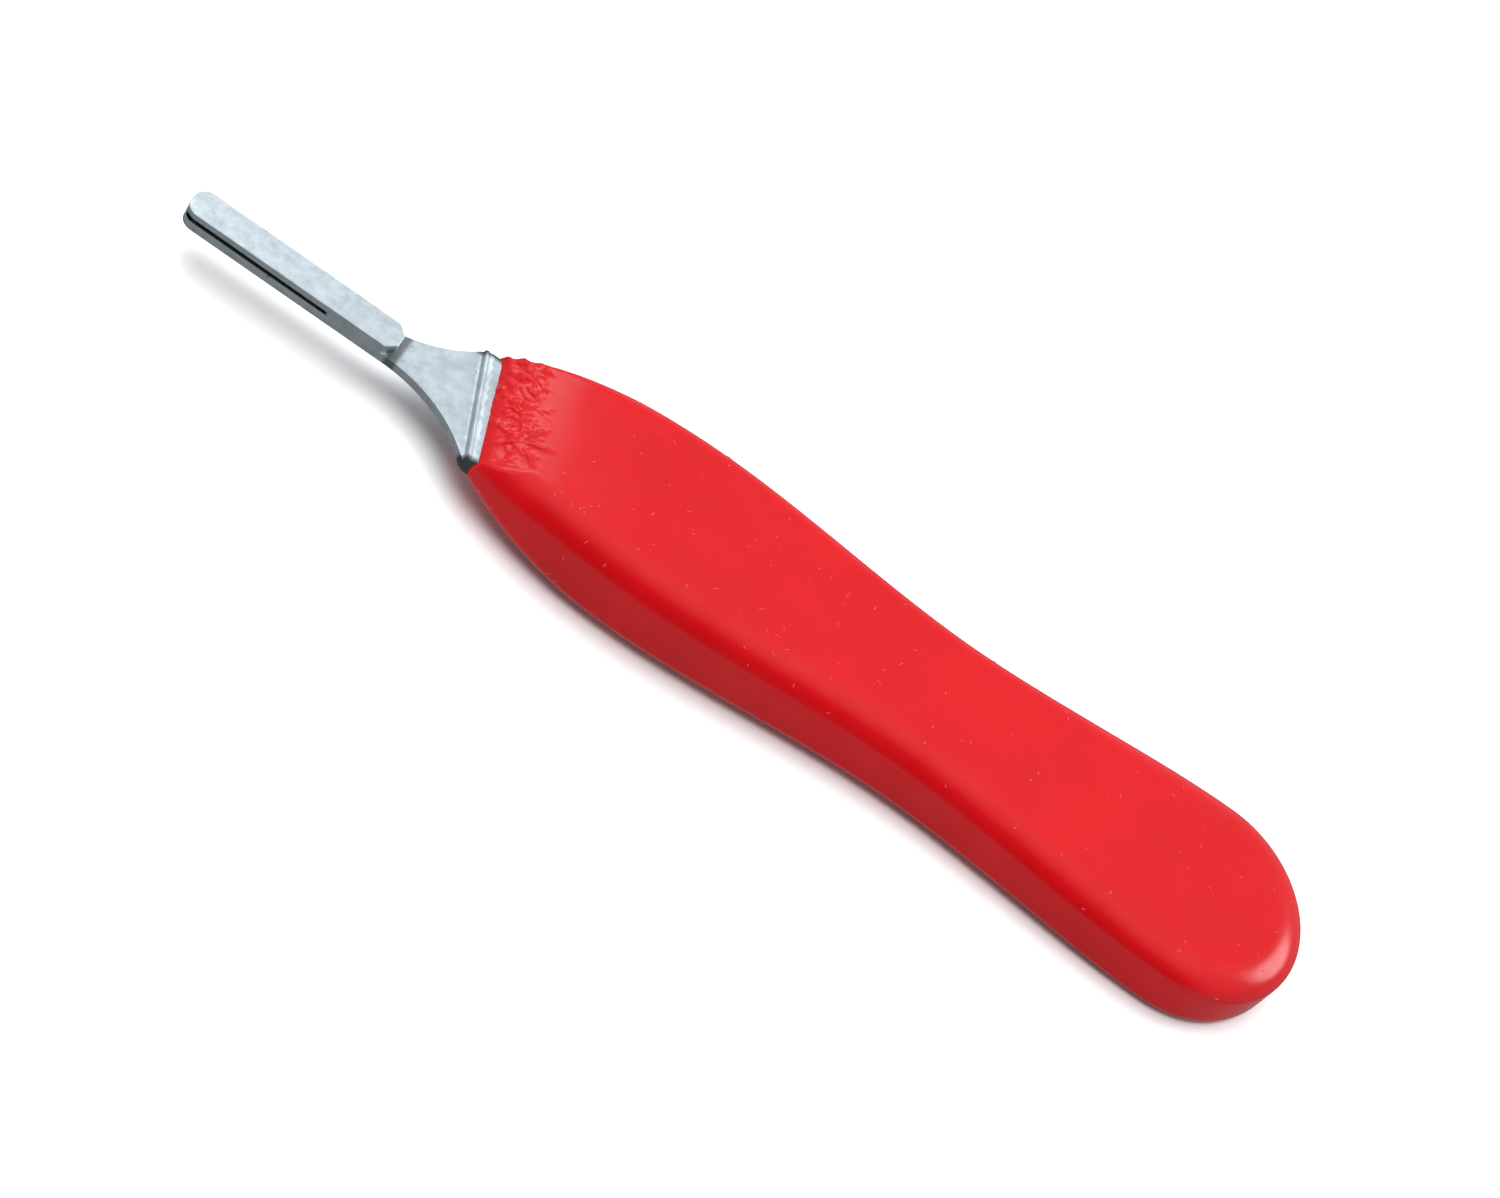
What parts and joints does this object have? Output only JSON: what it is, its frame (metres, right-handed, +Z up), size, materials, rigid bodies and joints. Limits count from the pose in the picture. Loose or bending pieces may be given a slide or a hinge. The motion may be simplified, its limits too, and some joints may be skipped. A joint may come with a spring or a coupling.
{
  "type": "carving knife handle",
  "caption": "Slim linocut carving tool: a grooved steel nose for detachable blades, with a waisted red plastic grip moulded round its tang.",
  "frame": {"origin": "under the middle of the bounding box, on the surface that the tool lies on", "axes": "+X along the tool from the blade nose to the butt, +Y across it, +Z up from the flat underside of the grip"},
  "size_m": [0.1284, 0.0234, 0.0087],
  "materials": {
    "plated_steel": "satin nickel plating, slightly tarnished",
    "red_plastic": "glossy moulded, wrinkled at the front"
  },
  "bodies": {
    "root": {"blade_holder": "plated_steel", "handle_grip": "red_plastic"}
  },
  "joints": []
}
